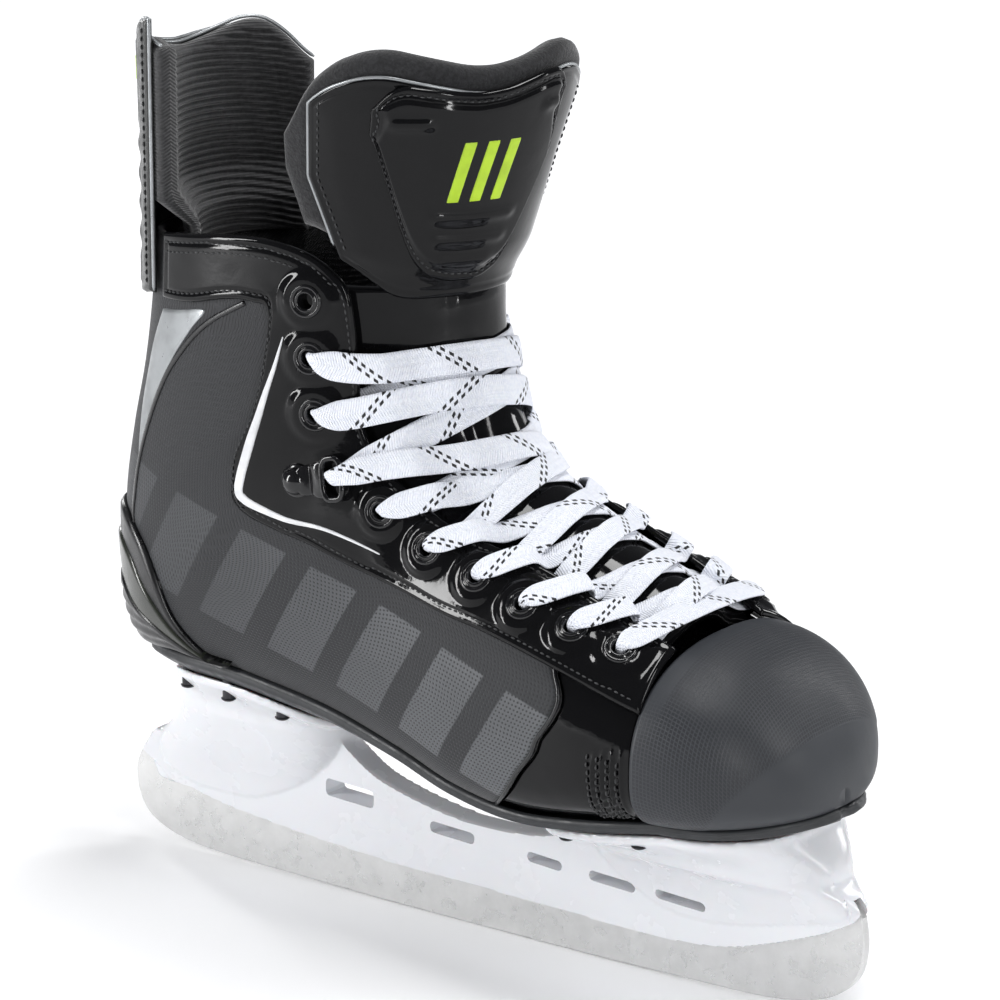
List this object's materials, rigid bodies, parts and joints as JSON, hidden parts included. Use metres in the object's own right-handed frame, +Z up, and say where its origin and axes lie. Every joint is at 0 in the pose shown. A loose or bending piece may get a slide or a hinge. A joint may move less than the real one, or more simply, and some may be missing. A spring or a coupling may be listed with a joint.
{
  "type": "ice hockey skate",
  "caption": "Adult ice hockey skate for the right foot: steel runner in a white holder, laced black boot with padded tongue and tendon guard.",
  "frame": {"origin": "middle of the runner's flat lower edge, where it rests on the ice", "axes": "+X towards the toe along the runner, +Z up, -Y towards the outer (lateral) side of the right foot"},
  "size_m": [0.2775, 0.0976, 0.279],
  "materials": {
    "runner_steel": "ground and lightly mottled",
    "stud_steel": "satin",
    "rivet_steel": "dark satin",
    "white_plastic": "semi-gloss",
    "sole_plastic": "satin",
    "toe_plastic": "fine grid emboss",
    "heel_plastic": "semi-gloss",
    "guard_plastic": "satin, stitched edge",
    "black_hardware": "gloss black",
    "patent_leather": "patent gloss",
    "woven_textile": "coarse weave",
    "liner_knit": "ribbed knit",
    "felt": "felted",
    "board": "matt",
    "lace_fabric": "flat braid with dark dots"
  },
  "bodies": {
    "boot": {"blade": "runner_steel", "blade_nut_front": "stud_steel", "blade_nut_rear": "stud_steel", "blade_stud_front": "stud_steel", "blade_stud_rear": "stud_steel", "collar_liner": "liner_knit", "eyelet_lateral_1": "black_hardware", "eyelet_lateral_2": "black_hardware", "eyelet_lateral_3": "black_hardware", "eyelet_lateral_4": "black_hardware", "eyelet_lateral_5": "black_hardware", "eyelet_lateral_6": "black_hardware", "eyelet_lateral_7": "black_hardware", "eyelet_lateral_8": "black_hardware", "eyelet_lateral_9": "black_hardware", "eyelet_medial_1": "black_hardware", "eyelet_medial_2": "black_hardware", "eyelet_medial_3": "black_hardware", "eyelet_medial_4": "black_hardware", "eyelet_medial_5": "black_hardware", "eyelet_medial_6": "black_hardware", "eyelet_medial_7": "black_hardware", "eyelet_medial_8": "black_hardware", "eyelet_medial_9": "black_hardware", "eyestay_lateral": "patent_leather", "eyestay_medial": "patent_leather", "footbed": "felt", "heel_counter": "heel_plastic", "holder": "white_plastic", "hook_rivet_lateral": "black_hardware", "hook_rivet_medial": "black_hardware", "insole_board": "board", "lace": "lace_fabric", "lace_hook_lateral": "black_hardware", "lace_hook_medial": "black_hardware", "outsole": "sole_plastic", "quarter_lateral": "woven_textile", "quarter_medial": "woven_textile", "rivet_01": "rivet_steel", "rivet_02": "rivet_steel", "rivet_03": "rivet_steel", "rivet_04": "rivet_steel", "rivet_05": "rivet_steel", "rivet_06": "rivet_steel", "rivet_07": "rivet_steel", "rivet_08": "rivet_steel", "rivet_09": "rivet_steel", "rivet_10": "rivet_steel", "rivet_11": "rivet_steel", "rivet_12": "rivet_steel", "toe_cap": "toe_plastic", "tongue_lower": "patent_leather", "vamp_patch_lateral": "patent_leather", "vamp_patch_medial": "patent_leather"},
    "tongue_top": {"tongue_upper": "felt", "tongue_facing": "patent_leather", "tongue_shield": "patent_leather"},
    "guard": {"tendon_guard": "guard_plastic", "guard_liner": "liner_knit"}
  },
  "joints": [
    {"name": "tongue_flop", "type": "hinge", "parent": "boot", "child": "tongue_top", "pos_m": [-0.001, 0, 0.2045], "axis": [0, 1, 0], "range_deg": [0, 55], "stiffness_Nm_per_rad": 1.5},
    {"name": "tendon_guard_flex", "type": "hinge", "parent": "boot", "child": "guard", "pos_m": [-0.12, 0, 0.19], "axis": [0, -1, 0], "range_deg": [0, 15], "stiffness_Nm_per_rad": 8}
  ]
}
